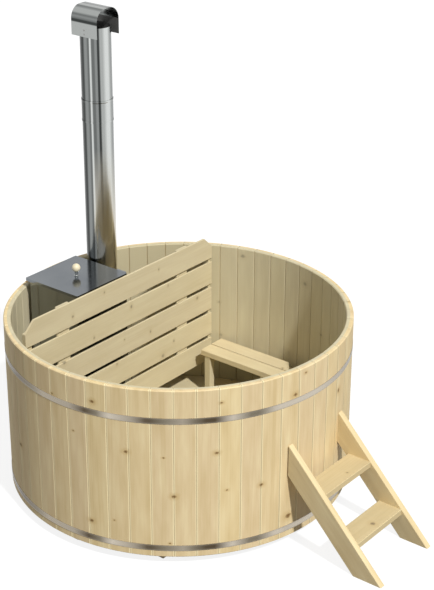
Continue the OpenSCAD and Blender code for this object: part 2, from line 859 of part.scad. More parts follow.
// Flanged drain with a flared seat for the plug, and a tail for a hose
module drain_fitting() {
    shank = -floor_t - locknut_t;
    low = shank - drain_tail_l;
    color("#A5A7A8")
    at_drain() rotate_extrude() polygon([
        [drain_r, low], [drain_tail_r, low], [drain_tail_r, shank], [drain_shank_r, shank],
        [drain_shank_r, 0], [drain_flange_r, 0],
        [drain_flange_r, flange_t / 2], [drain_flange_r - flange_t, flange_t],
        [drain_r + seat_flare, flange_t], [drain_r, flange_t - seat_depth]
    ]);
}

module drain_locknut() {
    color("#8E9194")
    at_drain() translate([0, 0, -floor_t - locknut_t])
        difference() {
            cylinder(r = locknut_r, h = locknut_t, $fn = 6);
            translate([0, 0, -over]) cylinder(r = drain_shank_r + fit, h = locknut_t + 2 * over);
        }
}

// Rubber plug with a waisted grip
module drain_plug() {
    low = flange_t - 2 * seat_depth;
    wide = drain_r + seat_flare - fit;
    top = flange_t + plug_grip_h;
    soft = plug_neck_r / 2;
    color("#33302C")
    at_drain() rotate_extrude() polygon([
        [0, low], [drain_r - fit - soft, low], [drain_r - fit, low + soft],
        [drain_r - fit, flange_t - seat_depth], [wide, flange_t], [wide, flange_t + soft],
        [plug_neck_r + soft, flange_t + 2 * soft],
        [plug_neck_r, flange_t + 3 * soft], [plug_neck_r, top - 4 * soft], [plug_grip_r, top - 2 * soft],
        [plug_grip_r, top - soft], [plug_grip_r - soft, top], [0, top]
    ]);
}

staves(0);  // staves_01
staves(1);  // staves_02
staves(2);  // staves_03
staves(3);  // staves_04
staves(4);  // staves_05
staves(5);  // staves_06
staves(6);  // staves_07
staves(7);  // staves_08
staves(8);  // staves_09
staves(9);  // staves_10
staves(10);  // staves_11
staves(11);  // staves_12
staves(12);  // staves_13
floor_boards();
beam(-beam_pitch);  // beam_stove_side
beam(0);  // beam_middle
beam(beam_pitch);  // beam_steps_side
hoop(hoop_high_z);  // upper_hoop
hoop(hoop_low_z);  // lower_hoop
hoop_lugs();
hoop_bolts();
hoop_nuts();
stove_body();
stove_flue_box();
stove_runners();
stove_bolts();
fire_grate();
flue_collar();
stove_lid();
lid_stem();
lid_knob();
lid_nut();
pipe_lower();
pipe_sleeve();
pipe_upper();
rain_cowl();
cowl_rivets();
fence_slat(0);  // fence_slat_1
fence_slat(1);  // fence_slat_2
fence_slat(2);  // fence_slat_3
fence_slat(3);  // fence_slat_4
fence_slat(4);  // fence_slat_5
fence_batten_near();
fence_batten_far();
fence_wall_blocks();
bench_board(bench_front);  // bench_board_front
bench_board(bench_rear - bench_board_w);  // bench_board_rear
bench_bearers();
bench_legs();
bench_wall_ledger();
stringer(-steps_w / 2);  // stringer_near
stringer(steps_w / 2 - board_t);  // stringer_far
tread(tread_low);  // tread_lower
tread(tread_high);  // tread_upper
tread_cleats();
drain_fitting();
drain_locknut();
drain_plug();
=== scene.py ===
"""Wooden hot tub with a wood-fired stove: finishes, fixings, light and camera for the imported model."""

import math
from types import SimpleNamespace

import bpy
from mathutils import Matrix, Vector


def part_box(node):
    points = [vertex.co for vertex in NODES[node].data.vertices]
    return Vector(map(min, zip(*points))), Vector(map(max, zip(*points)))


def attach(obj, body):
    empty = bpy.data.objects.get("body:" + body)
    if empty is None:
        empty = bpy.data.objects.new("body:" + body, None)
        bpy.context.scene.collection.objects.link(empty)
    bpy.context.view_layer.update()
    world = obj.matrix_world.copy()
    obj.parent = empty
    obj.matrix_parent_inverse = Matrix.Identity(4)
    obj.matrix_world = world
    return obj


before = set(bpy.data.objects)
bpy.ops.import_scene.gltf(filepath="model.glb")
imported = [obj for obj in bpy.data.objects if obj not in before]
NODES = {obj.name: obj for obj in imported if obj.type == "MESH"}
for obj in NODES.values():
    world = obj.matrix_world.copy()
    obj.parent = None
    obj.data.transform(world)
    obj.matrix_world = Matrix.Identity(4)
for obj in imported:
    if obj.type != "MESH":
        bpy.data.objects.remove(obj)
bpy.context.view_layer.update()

bl_info = {
    "name": "Wooden hot tub",
    "version": (1, 0, 0),
    "blender": (4, 5, 0),
    "location": "3D View > Sidebar > Hot tub",
    "description": "Finishes, fixings, light and camera for a wooden hot tub with a stove",
    "category": "Object",
}

MM = 0.001

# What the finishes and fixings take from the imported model, in metres and degrees
TUB_R = 1.0
STAVE_COUNT = 52
STAVE_STEP = 2 * math.pi * TUB_R / STAVE_COUNT
STAVE_T = 42 * MM
EASED = 6.5 * MM
FLOOR_BOARDS = 15
BEAM_STEP = 0.487
STEP_ANGLE = 46.0
TREAD_TOP = 0.41
CLEAT = 28 * MM
PIPE_LOW, PIPE_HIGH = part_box("pipe_lower")
PIPE_X, PIPE_Y = (PIPE_LOW.x + PIPE_HIGH.x) / 2, (PIPE_LOW.y + PIPE_HIGH.y) / 2
PIPE_R = (PIPE_HIGH.x - PIPE_LOW.x) / 2
COWL_LOW, COWL_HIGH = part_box("rain_cowl")
COWL_HALF = (COWL_HIGH.y - COWL_LOW.y) / 2
COWL_SPRING = COWL_HIGH.z - COWL_HALF

# Bands that set apart the timbers of one material: a band's width, and where the first one starts
BATTEN_BAND = (0.35, -0.3)
LEG_BAND = (0.4, -0.5)
STRINGER_BAND = (0.3, -0.6)
TREAD_BAND = (0.2167, 1.0)
SLAT_LEAD = 7 * MM
# How far a board's chances shift its pattern in depth and along it, and its growth rings in years
DEEP_SHIFT, FAR_SHIFT, YEAR_SHIFT = 7.0, 5.0, 17.0

# Knots: their sizes, how far apart they lie, and how they are drawn
KNOT_MIN, KNOT_MAX = 4 * MM, 11 * MM
KNOT_STRETCH = 1.35
KNOT_CROWDING = 0.7
KNOTLESS_SHARE = 0.45
BOARD_SHIFT = 5.3
RAGGED_SIZE = 100 * MM / 11
RAGGED_RADII = 1.6
NOWHERE = 50.0
RING_PUSH = 10 * MM

# Growth rings: the pith's depth behind the face and its reach across the board, and how the rings bend
PITH_NEAR, PITH_FAR = 50 * MM, 130 * MM
PITH_SHARE = 0.55
LATE_POWER = 2.5
WANDER = 30 * MM
WANDER_SIZE = 1000 * MM / 6
CLOUD_SIZE = 1000 * MM / 18

# Seams of the staves: how soft the eased edge ends, and the half widths of the painted shade line, outer and
# inner
EASED_SOFT = 1.0 * MM
SEAM_OUTER, SEAM_INNER = 1.9 * MM, 0.9 * MM

# Painted shade inside the tub: heights of the dark low band and azimuths of the dark far side; and heights
# of the pipe's pale foot
DAMP_TOP, DAMP_FULL = 0.42, 0.33
TAN_START, TAN_FULL = math.radians(107), math.radians(122)
MARK_SHARE = 0.75
DULL_TOP, DULL_FULL = 1.85, 1.35
MATT_ROUGHNESS = 0.35
# Painted highlight of the hoops' rolled edges: where it begins off the strap's middle and where it is full
STRAP_MIDDLE, STRAP_EDGE = 8 * MM, 16 * MM

# How deep under its outer face a sheet's inside begins, for the soot
PIPE_SKIN, COWL_SKIN = 0.4 * MM, 0.7 * MM

# Stretches of the wall with measured knots only: middle and half width in degrees
QUIET_OUTSIDE, QUIET_INSIDE = (-60, 58), (92, 33)

# Places of the screws, as shares of the board that they hold
SLAT_SCREW_SHARES = (0.25, 0.75)
BENCH_SCREW_SHARES = (0.6, 0.8)
TREAD_SCREW_SHARES = (0.3, 0.7)
# Screw heads: sides, the bevel's share of their height, and the Z of a normal that counts as up
HEAD_SIDES = 24
BEVEL_SHARE = 0.3
UPWARD = 0.99
SMOOTH_ANGLE = math.radians(35)

# Measured knots. On the wall: azimuth in degrees, height, radius in mm, and 1 outside or 0 inside
WALL_KNOTS = (
    (-113.3, 0.451, 10, 1), (-92.8, 0.929, 5, 1), (-77.3, 0.962, 10, 1), (-84.6, 0.752, 4, 1),
    (-66.6, 0.699, 9, 1), (-55.0, 0.681, 5, 1), (-38.9, 0.699, 9, 1), (-51.9, 0.445, 10, 1),
    (-78.8, 0.221, 10, 1), (-70.9, 0.259, 4, 1), (-53.3, 0.148, 5, 1), (-24.2, 0.451, 9, 1),
    (-35.6, 0.463, 5, 1), (-13.7, 0.193, 15, 1), (-12.0, 0.939, 10, 1), (-37.5, 0.996, 6, 1),
    (-7.8, 1.045, 6, 1), (113.7, 0.455, 10, 0), (65.5, 0.698, 8, 0), (105.1, 1.029, 11, 0),
    (76.3, 0.970, 12, 0), (114.5, 0.687, 7, 0),
)
# On the fence: place along the slat, height, and radius in mm
FENCE_KNOTS = (
    (-0.152, 1.106, 6), (0.335, 1.086, 6), (0.512, 0.798, 6), (0.470, 0.551, 7),
    (-0.420, 1.050, 8), (0.080, 0.930, 9), (-0.250, 0.850, 7), (0.250, 0.700, 8),
    (-0.060, 0.600, 7), (0.420, 0.950, 6),
)


def linear(code):
    """The linear colour and alpha of an sRGB hex value."""
    parts = [int(code[i:i + 2], 16) / 255 for i in (1, 3, 5)]
    return tuple(c / 12.92 if c <= 0.04045 else ((c + 0.055) / 1.055) ** 2.4 for c in parts) + (1.0,)


def colour_property(name, code, description):
    """A colour that the user can change."""
    return bpy.props.FloatVectorProperty(
        name=name, description=description, subtype="COLOR", size=4, min=0, max=1, default=linear(code))


def length_property(name, default, description):
    """A length in metres that the user can change."""
    return bpy.props.FloatProperty(
        name=name, description=description, default=default, min=0, unit="LENGTH", precision=4)


def angle_property(name, degrees, description):
    """An angle that the user can change."""
    return bpy.props.FloatProperty(
        name=name, description=description, default=math.radians(degrees), subtype="ANGLE")


class HotTubWood(bpy.types.PropertyGroup):
    """Colours and scale of the planed spruce."""

    sapwood: colour_property("Sapwood", "#E3CD9D", "Yellow early wood of the paler boards")
    blush: colour_property("Blush", "#DEC8A0", "Slightly pink tone of other boards")
    latewood: colour_property("Late wood", "#C0A671", "Darker part of each growth ring")
    halo: colour_property("Halo", "#C3A46C", "Resin-rich wood round a knot")
    knot: colour_property("Knot", "#785A33", "Middle of a knot")
    # Paler wood: the tone of the pale clouds in the boards, and of the painted highlight on the staves'
    # eased edges
    edge: colour_property("Planed edge", "#F5E6BA", "Fresh wood on eased edges")
    # Grey tone of the wood inside the tub: in part greyed by the water, in part painted, to cool and dim the
    # warm light that bounces between the boards
    soaked: colour_property("Soaked wood", "#B7BAA6", "Greyer tone of wood that stands in the water")
    # Painted shade: a dark tone drawn low on the inner wall, where the bench shades it
    damp: colour_property("Damp wood", "#6B5A40", "Dark tone of wood that never dries")
    seam: colour_property("Seam", "#A1824F", "Shadowed line where two boards meet")
    beech: colour_property("Beech", "#DCD2B5", "Pale oiled beech of the knob")
    ring_spacing: length_property(
        "Ring spacing", 0.009, "Distance between growth rings, drawn wider than the real 3 mm")
    fibre_width: length_property("Fibre width", 0.004, "Width of the fine streaks along the grain")
    knot_spacing: length_property("Knot spacing", 0.30, "Mean distance between knots on a board")


class HotTubSteel(bpy.types.PropertyGroup):
    """Colours of the metal parts and the plug."""

    sheet: colour_property("Sheet", "#70757A", "Stainless sheet of the stove's lid")
    # Streak tones: painted reflections, laid in lengthwise streaks round the pipe and along the cowl; they
    # are also the plain tones of the stove's sheet, the turned steel, the cast iron and the rubber
    streak_black: colour_property("Darkest streak", "#3A3D3C", "Darkest lengthwise streak of the pipe")
    streak_dark: colour_property("Dark streak", "#6A6D6C", "Dark streaks of pipe and cowl")
    streak_mid: colour_property("Middle streak", "#888B8A", "Middle tone of pipe and cowl")
    streak_fair: colour_property("Fair streak", "#A6A9A7", "Paler tone of the pipe and of the cowl's sides")
    streak_light: colour_property("Light streak", "#CFD2D0", "Bright streaks of pipe and cowl")
    # A pale grey drawn over the pipe's foot on the side that faces the tub
    scale: colour_property("Scale", "#D6D1C4", "Film that steam and splashes leave on the pipe's foot")
    soot: colour_property("Soot", "#676765", "Smoke-dulled inside of cowl and pipe")
    # Hoop tones: painted reflections, laid in bands round the hoops; the middle tone is also the plain tone
    # mottled into zinc and screws
    hoop_dark: colour_property("Dark hoop", "#54493A", "Darkest bands of the hoops")
    hoop_mid: colour_property("Middle hoop", "#7C7465", "Middle tone of the hoops")
    hoop_light: colour_property("Light hoop", "#A2998A", "Light bands of the hoops")
    hoop_bright: colour_property("Bright hoop", "#C6BDAE", "Brightest bands of the hoops")
    zinc: colour_property("Zinc", "#A5A8AA", "Zinc-plated bolts and nuts")
    yellow_zinc: colour_property("Yellow zinc", "#A8925C", "Yellow-passivated wood screws")
    iron: colour_property("Cast iron", "#3B3A38", "Grate in the fire box")
    rubber: colour_property("Rubber", "#2E2F30", "Plug of the drain")


class HotTubFixings(bpy.types.PropertyGroup):
    """Sizes of the screw heads."""

    screw_d: length_property("Screw head", 0.009, "Diameter of a countersunk screw head")
    screw_proud: length_property("Proud", 0.0006, "Height of a head over the wood")
    recess_d: length_property("Recess", 0.0042, "Width of the recess in a head")


class HotTubStage(bpy.types.PropertyGroup):
    """Floor, light and background."""

    floor: colour_property("Floor", "#767676", "Matt floor under the tub")
    floor_glow: bpy.props.FloatProperty(
        name="Floor glow", description="Light that the camera sees added to the floor", default=0.86, min=0)
    sky: bpy.props.FloatProperty(
        name="Sky", description="Strength of the even light from all round", default=0.40, min=0)
    sun: bpy.props.FloatProperty(
        name="Sun", description="Strength of the light from the steps' side", default=3.45, min=0)
    sun_azimuth: angle_property("Sun azimuth", -20.5, "Direction of the sun, seen from above")
    sun_height: angle_property("Sun height", 48.8, "Height of the sun over the horizon")
    sun_width: angle_property("Sun width", 3.0, "Width of the sun's disc, which softens the shadows")


def add(tree, kind, inputs=None, out=0, **settings):
    """Adds a node with its settings, links or sets its inputs, and gives back one of its outputs."""
    node = tree.nodes.new(kind)
    for name, value in settings.items():
        setattr(node, name, value)
    for key, value in (inputs or {}).items():
        if isinstance(value, bpy.types.NodeSocket):
            tree.links.new(value, node.inputs[key])
        else:
            node.inputs[key].default_value = value
    return node.outputs[out] if len(node.outputs) else node


def empty_tree(owner):
    """The node tree of a material or a world, cleared of its first nodes."""
    owner.use_nodes = True
    owner.node_tree.nodes.clear()
    return owner.node_tree


def new_material(name, values):
    """A material with one Principled shader that has these plain values."""
    material = bpy.data.materials.new(name)
    tree = empty_tree(material)
    surface = add(tree, "ShaderNodeBsdfPrincipled", values)
    add(tree, "ShaderNodeOutputMaterial", {"Surface": surface})
    return material, tree, surface.node.inputs


def finish(material, *names):
    """Gives CAD nodes a material."""
    for name in names:
        mesh = NODES[name].data
        mesh.materials.clear()
        mesh.materials.append(material)


def wood_place(tree, seed, pitch, start, axes, turn):
    """Where a point lies: u across the boards, v in depth, w along them, and its place in its own board."""
    place = add(tree, "ShaderNodeTexCoord", out="Object")
    if turn:
        place = add(tree, "ShaderNodeMapping", {"Vector": place, "Rotation": turn})
    axis = dict(zip("XYZ", add(tree, "ShaderNodeSeparateXYZ", {0: place}).node.outputs))
    at = SimpleNamespace(pitch=pitch, outside=0.0)
    if axes:
        at.u, at.v, at.w = (axis[letter] for letter in axes)
    else:
        # Staves: across them is the way round the tub, and in depth the radius
        at.flat = add(tree, "ShaderNodeVectorMath", {0: place, 1: (1, 1, 0)}, operation="MULTIPLY")
        at.angle = add(tree, "ShaderNodeMath", {0: axis["Y"], 1: axis["X"]}, operation="ARCTAN2")
        at.u = add(tree, "ShaderNodeMath", {0: at.angle, 1: TUB_R}, operation="MULTIPLY")
        at.v = add(tree, "ShaderNodeVectorMath", {0: at.flat}, out="Value", operation="LENGTH")
        at.w = axis["Z"]
        at.outside = add(tree, "ShaderNodeMath", {0: at.v, 1: TUB_R - STAVE_T / 2}, operation="GREATER_THAN")
    shifted = add(tree, "ShaderNodeMath", {0: at.u, 1: start}, operation="SUBTRACT")
    scaled = add(tree, "ShaderNodeMath", {0: shifted, 1: pitch}, operation="DIVIDE")
    board = add(tree, "ShaderNodeMath", {0: scaled}, operation="FLOOR")
    share = add(tree, "ShaderNodeMath", {0: scaled}, operation="FRACT")
    at.centred = add(tree, "ShaderNodeMath", {0: share, 1: 0.5}, operation="SUBTRACT")
    at.local = add(tree, "ShaderNodeMath", {0: at.centred, 1: pitch}, operation="MULTIPLY")
    at.number = add(tree, "ShaderNodeMath", {0: board, 1: seed}, operation="ADD")
    # Three chances for each board, which also shift its pattern in depth and along it
    chance = add(tree, "ShaderNodeTexWhiteNoise", {"W": at.number}, out="Color", noise_dimensions="1D")
    at.chances = tuple(add(tree, "ShaderNodeSeparateColor", {0: chance}).node.outputs)
    deep = add(tree, "ShaderNodeMath", {0: at.chances[2], 1: DEEP_SHIFT, 2: at.v}, operation="MULTIPLY_ADD")
    far = add(tree, "ShaderNodeMath", {0: at.chances[0], 1: FAR_SHIFT, 2: at.w}, operation="MULTIPLY_ADD")
    at.grain = add(tree, "ShaderNodeCombineXYZ", {0: at.local, 1: deep, 2: far})
    return at


def knot_distance(tree, at, knots, quiet):
    """Distance to the nearest knot, in that knot's own radii, with a ragged edge."""
    spacing = bpy.context.scene.hot_tub_wood.knot_spacing
    # Chance knots, further apart along a board than across it
    spots = add(tree, "ShaderNodeCombineXYZ", {0: at.u, 1: at.w, 2: at.number})
    cell = add(tree, "ShaderNodeVectorMath",
               {0: spots, 1: (1 / spacing, KNOT_CROWDING / spacing, BOARD_SHIFT)}, operation="MULTIPLY")
    voronoi = add(tree, "ShaderNodeTexVoronoi", {"Vector": cell, "Scale": 1.0, "Randomness": 1.0},
                  out="Position", voronoi_dimensions="3D")
    away = add(tree, "ShaderNodeVectorMath", {0: cell, 1: voronoi}, operation="SUBTRACT")
    away = add(tree, "ShaderNodeVectorMath",
               {0: away, 1: (spacing, spacing / KNOT_CROWDING, 0.0)}, operation="MULTIPLY")
    away = add(tree, "ShaderNodeVectorMath", {0: away}, out="Value", operation="LENGTH")
    luck, size, _ = add(tree, "ShaderNodeSeparateColor", {0: voronoi.node.outputs["Color"]}).node.outputs
    reach = add(tree, "ShaderNodeMapRange", {"Value": size, "To Min": KNOT_MIN, "To Max": KNOT_MAX})
    nearest = add(tree, "ShaderNodeMath", {0: away, 1: reach}, operation="DIVIDE")
    barred = [add(tree, "ShaderNodeMath", {0: luck, 1: KNOTLESS_SHARE}, operation="LESS_THAN")]
    barred += [add(tree, "ShaderNodeMath", {0: at.u, 1: middle, 2: half}, operation="COMPARE")
               for middle, half in quiet]
    for bar in barred:
        nearest = add(tree, "ShaderNodeMath", {0: bar, 1: NOWHERE, 2: nearest}, operation="MULTIPLY_ADD")
    # Measured knots, wider than tall
    tall = add(tree, "ShaderNodeMath", {0: at.w, 1: KNOT_STRETCH}, operation="MULTIPLY")
    plan = add(tree, "ShaderNodeCombineXYZ", {0: at.u, 1: tall, 2: at.outside})
    for (u, w, outside), radius in knots:
        off = add(tree, "ShaderNodeVectorMath", {0: plan, 1: (u, w * KNOT_STRETCH, outside)},
                  out="Value", operation="DISTANCE")
        off = add(tree, "ShaderNodeMath", {0: off, 1: radius * MM}, operation="DIVIDE")
        nearest = add(tree, "ShaderNodeMath", {0: off, 1: nearest}, operation="MINIMUM")
    ragged = add(tree, "ShaderNodeTexNoise", {"Vector": at.grain, "Scale": 1 / RAGGED_SIZE, "Detail": 2.0})
    return add(tree, "ShaderNodeMath", {0: ragged, 1: RAGGED_RADII, 2: nearest}, operation="MULTIPLY_ADD")


def late_wood(tree, at, face, round_knot):
    """How dark the growth rings are: they lie round a pith behind the board's face and bend round knots."""
    first, second, _ = at.chances
    place = add(tree, "ShaderNodeMapping", {"Vector": at.grain, "Scale": (1, 1, 0.14)})
    wave = add(tree, "ShaderNodeTexNoise", {"Vector": place, "Scale": 1 / WANDER_SIZE, "Detail": 2.0})
    wander = add(tree, "ShaderNodeMapRange", {"Value": wave, "To Min": -WANDER, "To Max": WANDER})
    reach = PITH_SHARE * at.pitch
    pith_u = add(tree, "ShaderNodeMapRange", {"Value": first, "To Min": -reach, "To Max": reach})
    pith_v = add(tree, "ShaderNodeMapRange",
                 {"Value": second, "To Min": face - PITH_NEAR, "To Max": face - PITH_FAR})
    from_u = add(tree, "ShaderNodeMath", {0: at.local, 1: pith_u}, operation="SUBTRACT")
    from_u = add(tree, "ShaderNodeMath", {0: from_u, 1: wander}, operation="ADD")
    from_v = add(tree, "ShaderNodeMath", {0: at.v, 1: pith_v}, operation="SUBTRACT")
    from_pith = add(tree, "ShaderNodeCombineXYZ", {0: from_u, 1: from_v})
    distance = add(tree, "ShaderNodeVectorMath", {0: from_pith}, out="Value", operation="LENGTH")
    distance = add(tree, "ShaderNodeMath", {0: round_knot, 1: RING_PUSH, 2: distance},
                   operation="MULTIPLY_ADD")
    spacing = bpy.context.scene.hot_tub_wood.ring_spacing
    ring = add(tree, "ShaderNodeMath", {0: distance, 1: spacing}, operation="DIVIDE")
    phase = add(tree, "ShaderNodeMath", {0: ring}, operation="FRACT")
    late = add(tree, "ShaderNodeMath", {0: phase, 1: LATE_POWER}, operation="POWER")
    # Some years are darker than others
    year = add(tree, "ShaderNodeMath", {0: ring}, operation="FLOOR")
    year = add(tree, "ShaderNodeMath", {0: at.number, 1: YEAR_SHIFT, 2: year}, operation="MULTIPLY_ADD")
    strength = add(tree, "ShaderNodeTexWhiteNoise", {"W": year}, out="Value", noise_dimensions="1D")
    return add(tree, "ShaderNodeMath", {0: late, 1: strength}, operation="MULTIPLY")


def seams(tree, at):
    """Seams of the staves: shares of the painted highlight on the eased edge and of the painted shade line,
    and the sloping normal.
    """
    aside = add(tree, "ShaderNodeMath", {0: at.centred}, operation="ABSOLUTE")
    inward = add(tree, "ShaderNodeMath", {0: 0.5, 1: aside}, operation="SUBTRACT")
    inward = add(tree, "ShaderNodeMath", {0: inward, 1: at.pitch}, operation="MULTIPLY")
    eased = add(tree, "ShaderNodeMapRange",
                {"Value": inward, "From Min": EASED + EASED_SOFT, "From Max": EASED - EASED_SOFT},
                interpolation_type="SMOOTHSTEP")
    # Painted highlight: the eased edges are drawn paler, strongly outside and faintly inside
    fresh = add(tree, "ShaderNodeMapRange", {"Value": at.outside, "To Min": 0.15, "To Max": 0.8})
    pale = add(tree, "ShaderNodeMath", {0: eased, 1: fresh}, operation="MULTIPLY")
    # Painted shade: a dark line down the middle of each seam
    line = add(tree, "ShaderNodeMapRange",
               {"Value": inward, "From Min": SEAM_OUTER, "From Max": SEAM_INNER, "To Max": 0.6},
               interpolation_type="SMOOTHSTEP")
    # Outside, the groove's side of each stave slopes to the seam, and the tongue's side hardly
    slope = add(tree, "ShaderNodeMapRange", {"Value": at.centred, "From Min": -0.001, "From Max": 0.001,
                                             "To Min": -0.1, "To Max": 0.85})
    slope = add(tree, "ShaderNodeMath", {0: eased, 1: slope}, operation="MULTIPLY")
    slope = add(tree, "ShaderNodeMath", {0: slope, 1: at.outside}, operation="MULTIPLY")
    around = add(tree, "ShaderNodeVectorMath", {0: (0, 0, 1), 1: at.flat}, operation="CROSS_PRODUCT")
    around = add(tree, "ShaderNodeVectorMath", {0: around, "Scale": slope}, operation="SCALE")
    normal = add(tree, "ShaderNodeNewGeometry", out="Normal")
    normal = add(tree, "ShaderNodeVectorMath", {0: normal, 1: around}, operation="ADD")
    normal = add(tree, "ShaderNodeVectorMath", {0: normal}, operation="NORMALIZE")
    return pale, line, normal


def marks_inside(tree, at, soaked):
    """Colours inside the staves: painted shade low on the wall and on its far side round the stove, and the
    grey tone.
    """
    look = bpy.context.scene.hot_tub_wood
    inside = add(tree, "ShaderNodeMath", {0: 1.0, 1: at.outside}, operation="SUBTRACT")
    layers = []
    # Painted shade: the inner wall is drawn darker below the bench and on its far side round the stove
    for value, start, full, tone in ((at.w, DAMP_TOP, DAMP_FULL, look.damp),
                                     (at.angle, TAN_START, TAN_FULL, look.latewood)):
        share = add(tree, "ShaderNodeMapRange",
                    {"Value": value, "From Min": start, "From Max": full, "To Max": MARK_SHARE})
        share = add(tree, "ShaderNodeMath", {0: share, 1: inside}, operation="MULTIPLY")
        layers.append((share, tone))
    grey = add(tree, "ShaderNodeMapRange", {"Value": at.outside, "To Min": soaked, "To Max": 0.0})
    return layers + [(grey, look.soaked)]


def spruce(name, pitch, start, face, axes=None, *, seed, turn=None, knots=(), quiet=(), soaked=0.0,
           ripe=0.0):
    """Planed spruce, sawn from a log, with its growth rings, fibres and knots.

    pitch is the distance from board to board, and start where the first one begins. face is the depth of the
    boards' face. axes names the axes across the boards, in depth and along them; staves have none. seed
    picks the pattern, and turn tilts it. knots are the measured ones, and quiet the stretches that get no
    others. The last two say how far the wood turns to the grey tone and how far it turns darker: in part the
    wood's own tone, and in part painted shade, greyed against the warm light that bounces inside the tub."""
    look = bpy.context.scene.hot_tub_wood
    material, tree, shader = new_material(name, {"Specular IOR Level": 0.12})
    at = wood_place(tree, seed, pitch, start, axes, turn)
    nearest = knot_distance(tree, at, knots, quiet)
    core = add(tree, "ShaderNodeMapRange",
               {"Value": nearest, "From Min": 2.6, "From Max": 1.1, "To Max": 0.95},
               interpolation_type="SMOOTHSTEP")
    round_knot = add(tree, "ShaderNodeMapRange", {"Value": nearest, "From Min": 5.5, "From Max": 1.6},
                     interpolation_type="SMOOTHSTEP")
    late = late_wood(tree, at, face, round_knot)
    # Fibres, and broad paler and darker areas
    place = add(tree, "ShaderNodeMapping", {"Vector": at.grain, "Scale": (1, 1, 0.02)})
    fibre = add(tree, "ShaderNodeTexNoise", {"Vector": place, "Scale": 1 / look.fibre_width, "Detail": 3.0})
    place = add(tree, "ShaderNodeMapping", {"Vector": at.grain, "Scale": (1, 1, 0.18)})
    cloud = add(tree, "ShaderNodeTexNoise", {"Vector": place, "Scale": 1 / CLOUD_SIZE, "Detail": 2.0})
    light = add(tree, "ShaderNodeMapRange",
                {"Value": cloud, "From Min": 0.5, "From Max": 0.75, "To Max": 0.45})
    dusk = add(tree, "ShaderNodeMapRange",
               {"Value": cloud, "From Min": 0.5, "From Max": 0.25, "To Max": 0.35})
    # The rings' late wood, and the even darkening that is in part painted shade
    rings = add(tree, "ShaderNodeMath", {0: late, 1: 0.28, 2: ripe}, operation="MULTIPLY_ADD")
    streak = add(tree, "ShaderNodeMapRange",
                 {"Value": fibre, "From Min": 0.3, "From Max": 0.75, "To Max": 0.18})
    halo = add(tree, "ShaderNodeMath", {0: round_knot, 1: 0.5}, operation="MULTIPLY")
    # The colours lie over each other, each with its share
    layers = [(at.chances[2], look.blush), (light, look.edge), (dusk, look.latewood), (rings, look.latewood),
              (streak, look.latewood)]
    knot_layers = [(halo, look.halo), (core, look.knot)]
    if axes:
        normal = add(tree, "ShaderNodeNewGeometry", out="Normal")
        layers += knot_layers + [(soaked, look.soaked)]
    else:
        pale, line, normal = seams(tree, at)
        layers += [(pale, look.edge)] + knot_layers + marks_inside(tree, at, soaked) + [(line, look.seam)]
    colour = look.sapwood
    for share, tone in layers:
        colour = add(tree, "ShaderNodeMixRGB", {"Fac": share, "Color1": colour, "Color2": tone})
    tree.links.new(colour, shader["Base Color"])
    gloss = add(tree, "ShaderNodeMapRange", {"Value": fibre, "To Min": 0.48, "To Max": 0.68})
    tree.links.new(gloss, shader["Roughness"])
    height = add(tree, "ShaderNodeMath", {0: late, 1: 0.5, 2: fibre}, operation="MULTIPLY_ADD")
    bump = add(tree, "ShaderNodeBump",
               {"Strength": 0.35, "Distance": 0.4 * MM, "Height": height, "Normal": normal})
    tree.links.new(bump, shader["Normal"])
    return material


def set_stops(ramp, stops):
    """Gives a colour ramp its stops, each a place from 0 to 1 and a colour."""
    elements = ramp.color_ramp.elements
    while len(elements) > 1:
        elements.remove(elements[-1])
    elements[0].position, elements[0].color = stops[0]
    for place, tone in stops[1:]:
        elements.new(place).color = tone


def angle_about(tree, x, y):
    """Azimuth round an upright line at x, y as a share of a whole turn, from the -X side."""
    place = add(tree, "ShaderNodeTexCoord", out="Object")
    place = add(tree, "ShaderNodeMapping", {"Vector": place, "Location": (-x, -y, 0)})
    parts = add(tree, "ShaderNodeSeparateXYZ", {0: place}).node.outputs
    angle = add(tree, "ShaderNodeMath", {0: parts[1], 1: parts[0]}, operation="ARCTAN2")
    return add(tree, "ShaderNodeMapRange", {"Value": angle, "From Min": -math.pi, "From Max": math.pi})


def wear(tree, shader, stretch, roughness, size=50 * MM / 3, matt=0.0):
    """Marks in a surface, stretched along its axes, that change its roughness and its bump a little."""
    place = add(tree, "ShaderNodeTexCoord", out="Object")
    place = add(tree, "ShaderNodeMapping", {"Vector": place, "Scale": stretch})
    brush = add(tree, "ShaderNodeTexNoise", {"Vector": place, "Scale": 1 / size, "Detail": 3.0})
    rubbed = add(tree, "ShaderNodeMapRange", {"Value": brush, "From Min": 0.3, "From Max": 0.7,
                                              "To Min": roughness[0], "To Max": roughness[1]})
    rubbed = add(tree, "ShaderNodeMath", {0: matt, 1: MATT_ROUGHNESS, 2: rubbed}, operation="MULTIPLY_ADD")
    tree.links.new(rubbed, shader["Roughness"])
    bump = add(tree, "ShaderNodeBump", {"Strength": 0.08, "Distance": 0.2 * MM, "Height": brush})
    tree.links.new(bump, shader["Normal"])


def mottled(name, tones, size, values=None, detail=2.0, stretch=None, spread=None, marks=None):
    """A material whose second tone shows in spots of this size over the first.

    values are plain values of the shader, spread says how a noise from 0 to 1 becomes the second
    tone's share, and marks are the stretch, roughness and size that wear takes."""
    material, tree, shader = new_material(name, values or {"Metallic": 1.0})
    place = add(tree, "ShaderNodeTexCoord", out="Object")
    if stretch:
        place = add(tree, "ShaderNodeMapping", {"Vector": place, "Scale": stretch})
    share = add(tree, "ShaderNodeTexNoise", {"Vector": place, "Scale": 1 / size, "Detail": detail})
    if spread:
        share = add(tree, "ShaderNodeMapRange", {"Value": share, **spread})
    colour = add(tree, "ShaderNodeMixRGB", {"Fac": share, "Color1": tones[0], "Color2": tones[1]})
    tree.links.new(colour, shader["Base Color"])
    if marks:
        wear(tree, shader, *marks)
    return material


